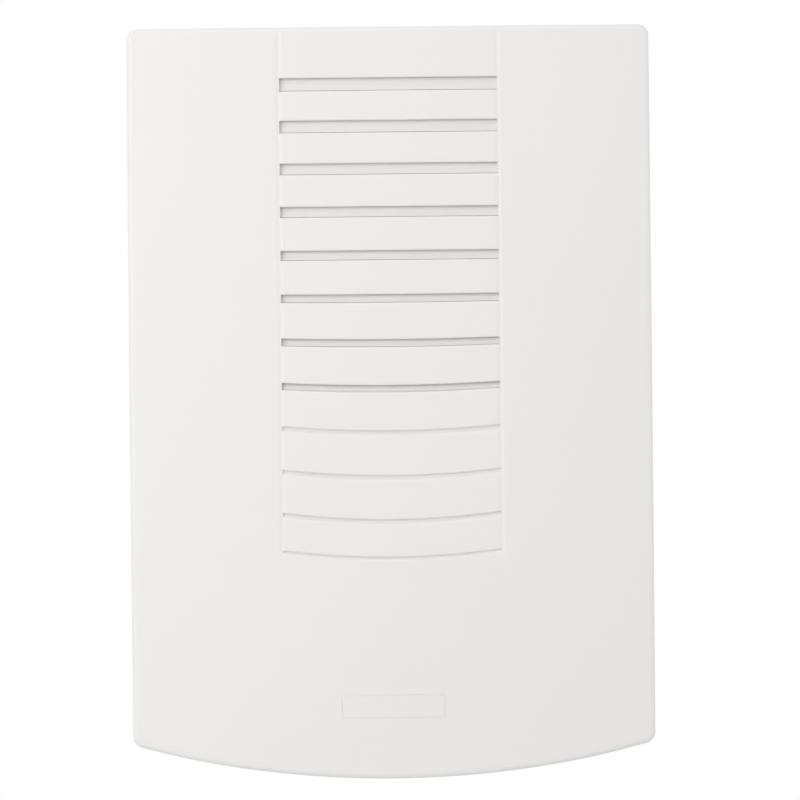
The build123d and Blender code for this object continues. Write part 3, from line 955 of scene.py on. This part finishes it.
for vertex in front_cover.data.vertices:
    x, y, z = vertex.co
    outside = y < inner_y - seam
    if outside and abs(x) < strip_half + seam:
        y = front_y + floor_at(y, z)
    y = max(y, front_y + groove_at(x, z))
    foot_share = 1 - ramp(z, bow_levels[-1], bow_levels[0])
    taper = math.tan(mould_draft) * (cover_rear - y)
    new_z = z - row_sag(x, z) - foot_share * bow_at(x)
    if outside:
        new_z -= lip_at(x, z)
    new_z += taper * (foot_share - ramp(z, *top_draft))
    new_x = x - math.copysign(taper * ramp(abs(x), *side_draft), x)
    depth_share = ramp(cover_rear - y, 0, cover_rear - inner_y)
    vertex.co = (new_x, y + crown_at(new_x, new_z) * depth_share, new_z)
front_cover.data.update()

bpy.ops.object.select_all(action="DESELECT")
front_cover.select_set(True)
bpy.context.view_layer.objects.active = front_cover
bpy.ops.object.mode_set(mode="EDIT")
bpy.ops.mesh.select_all(action="SELECT")
bpy.ops.mesh.remove_doubles(threshold=merge_reach)
bpy.ops.object.mode_set(mode="OBJECT")
cover_smooth = math.radians(38)
bpy.ops.object.shade_smooth_by_angle(angle=cover_smooth)
even = front_cover.modifiers.new("even_normals", "WEIGHTED_NORMAL")
even.keep_sharp = True
even.weight = 90
bpy.ops.object.modifier_apply(modifier=even.name)

cover_plastic = surface_material(
    "cover_plastic",
    moulded_group,
    {
        "Colour": (0.865, 0.850, 0.840, 1),
        "Shade": (0.850, 0.838, 0.826, 1),
        "Grain": 3000.0,
        "Gloss low": 0.36,
        "Gloss high": 0.5,
    },
    bump=0.006 * mm,
)
front_cover.data.materials.clear()
front_cover.data.materials.append(cover_plastic)
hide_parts("front_cover")
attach(front_cover, "cover")


# Studio. The camera stands straight in front, turned by half a degree as in the photograph. A
# large soft lamp at the left, two weak ones further off and an even pale room light the case,
# over a pale floor that fades to white.
picture_pixels = 800
picture_width = 163.4 * mm
middle_pixel = (391.0, 402.4)
camera_distance = 1.6
camera_turn = math.radians(0.58)
pixel = picture_width / picture_pixels
camera_data = bpy.data.cameras.new("camera")
camera = bpy.data.objects.new("camera", camera_data)
bpy.context.scene.collection.objects.link(camera)
bpy.context.scene.camera = camera
camera.location = (
    (picture_pixels / 2 - middle_pixel[0]) * pixel,
    front_y - camera_distance,
    (middle_pixel[1] - picture_pixels / 2) * pixel,
)
camera.rotation_euler = (math.radians(90), camera_turn, 0)
camera_data.sensor_width = 36
camera_data.lens = camera_data.sensor_width * camera_distance / picture_width
camera_data.clip_start = 0.01


def soft_lamp(name, place, size, power):
    """A square lamp that faces the middle of the object's back."""
    lamp = bpy.data.lights.new(name, "AREA")
    lamp.shape = "SQUARE"
    lamp.size = size
    lamp.energy = power
    item = bpy.data.objects.new(name, lamp)
    bpy.context.scene.collection.objects.link(item)
    item.location = place
    item.rotation_euler = (-Vector(place)).to_track_quat("-Z", "Y").to_euler()


soft_lamp("left_lamp", place=(-0.42, -0.58, 0.16), size=0.5, power=1.7)
soft_lamp("right_lamp", place=(1.1, -0.1, 0.1), size=0.8, power=2.4)
soft_lamp("top_lamp", place=(0.0, -0.3, 1.1), size=0.8, power=2.2)


def backdrop_rays(tree):
    """1 for a ray that sees the plain backdrop: from the camera, or by way of metal or glass."""
    rays = tree.nodes.new("ShaderNodeLightPath").outputs
    seen = add_math(tree, "MAXIMUM", rays["Is Camera Ray"], rays["Is Glossy Ray"])
    return add_math(tree, "MAXIMUM", seen, rays["Is Transmission Ray"])


floor_width = 5.0
floor_level = -0.14
floor_grey = (0.86, 0.86, 0.86, 1)
bpy.ops.object.select_all(action="DESELECT")
bpy.ops.mesh.primitive_plane_add(size=floor_width, location=(0, 0, floor_level))
floor = bpy.context.object
floor.name = "studio_floor"
floor_paper = bpy.data.materials.new("floor_paper")
floor_paper.use_nodes = True
paper = floor_paper.node_tree
paper.nodes.remove(paper.nodes["Principled BSDF"])
lit = paper.nodes.new("ShaderNodeBsdfDiffuse")
lit.inputs["Color"].default_value = floor_grey
white = paper.nodes.new("ShaderNodeEmission")
both = paper.nodes.new("ShaderNodeMixShader")
where = paper.nodes.new("ShaderNodeTexCoord")
far = paper.nodes.new("ShaderNodeVectorMath")
far.operation = "LENGTH"
fade = paper.nodes.new("ShaderNodeMapRange")
fade.interpolation_type = "SMOOTHSTEP"
fade.inputs["From Min"].default_value = 0.12
fade.inputs["From Max"].default_value = 0.6
paper.links.new(where.outputs["Object"], far.inputs[0])
paper.links.new(far.outputs["Value"], fade.inputs["Value"])
white_share = add_math(paper, "MULTIPLY", fade.outputs["Result"], backdrop_rays(paper))
paper.links.new(white_share, both.inputs["Fac"])
paper.links.new(lit.outputs["BSDF"], both.inputs[1])
paper.links.new(white.outputs["Emission"], both.inputs[2])
paper.links.new(both.outputs["Shader"], paper.nodes["Material Output"].inputs["Surface"])
floor.data.materials.append(floor_paper)

room_light = 0.6
backdrop_white = 1.0
world = bpy.data.worlds.new("room")
bpy.context.scene.world = world
world.use_nodes = True
room = world.node_tree
background = room.nodes["Background"]
background.inputs["Color"].default_value = (1, 1, 1, 1)
strength = add_range(room, backdrop_rays(room), target=(room_light, backdrop_white))
room.links.new(strength, background.inputs["Strength"])

bpy.context.scene.view_settings.view_transform = "Standard"
